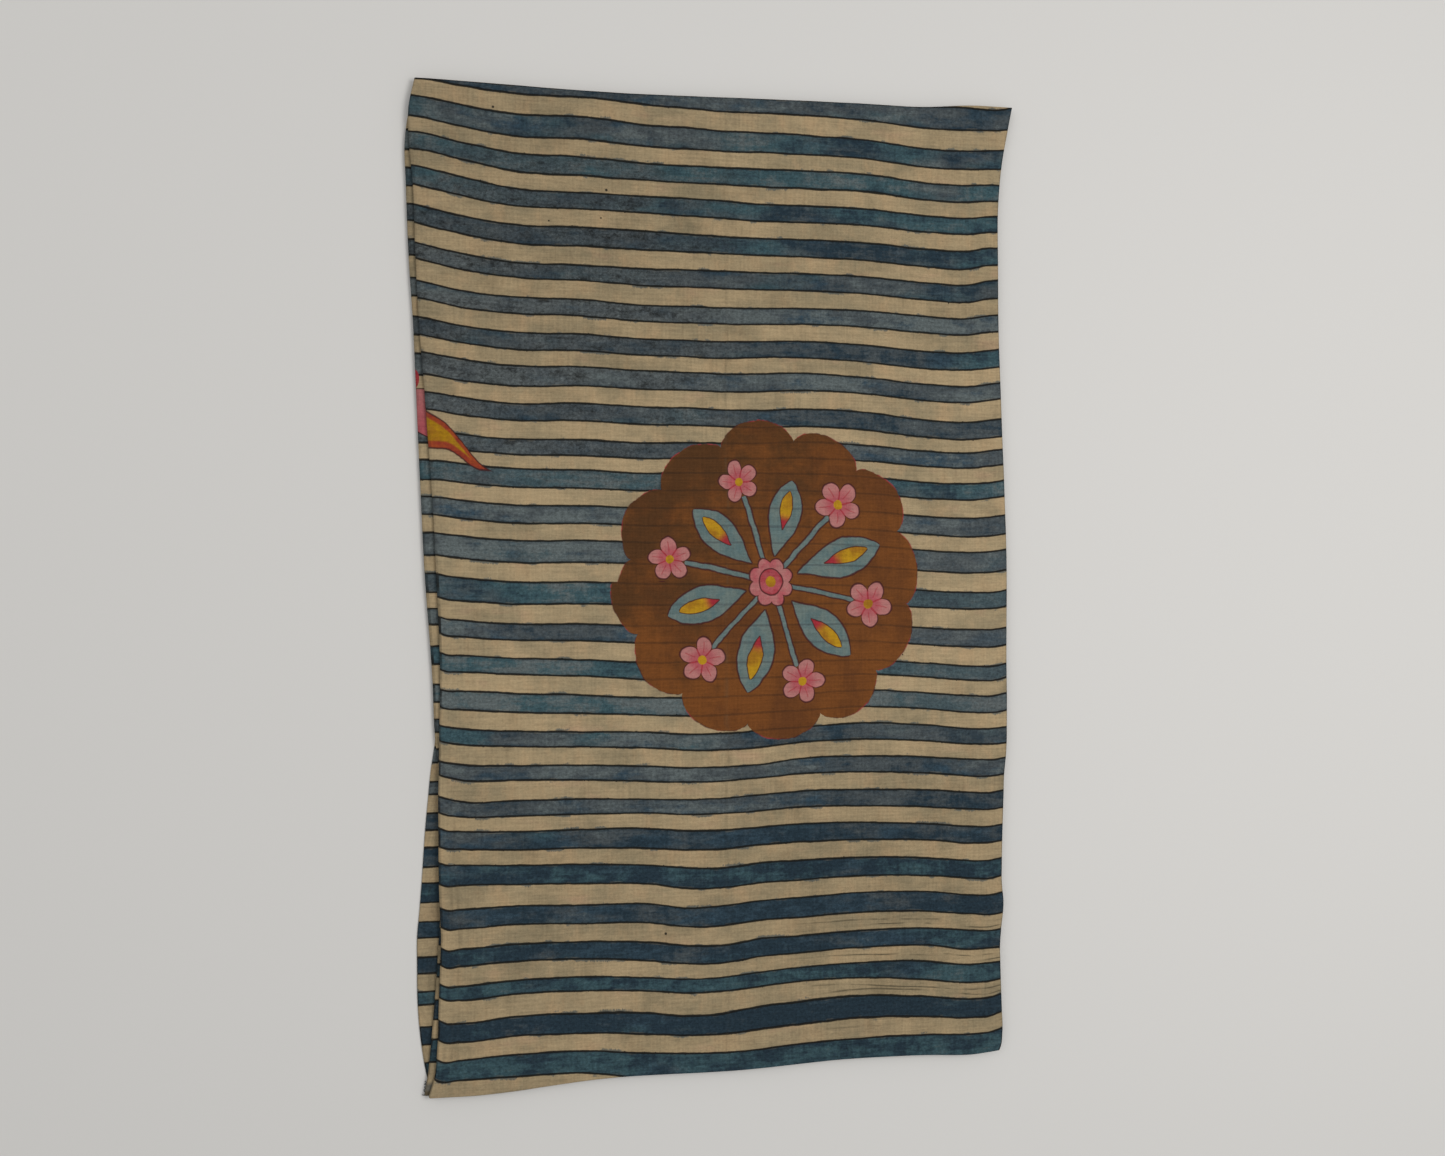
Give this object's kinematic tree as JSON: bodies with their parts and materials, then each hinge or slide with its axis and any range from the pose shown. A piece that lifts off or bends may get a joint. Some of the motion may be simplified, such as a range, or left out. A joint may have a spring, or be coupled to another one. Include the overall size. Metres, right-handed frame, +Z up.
{
  "type": "folded kalamkari cotton cloth panel",
  "caption": "Cotton cloth panel, hand-painted in blue and cream stripes with a scalloped brown roundel, lying folded back and forth into a flat stack.",
  "frame": {"origin": "on the surface that the cloth lies on, under the middle of its bounding box", "axes": "+Z up, out of the stack's top face; +Y along the woven width, towards the edge at the top of the picture; +X across the folds, from the side with the stepped folds to the other"},
  "size_m": [0.6934, 1.108, 0.0111],
  "materials": {
    "painted_cotton": "matte plain-weave cotton, hand-painted"
  },
  "bodies": {
    "root": {"folded_cloth": "painted_cotton"}
  },
  "joints": []
}
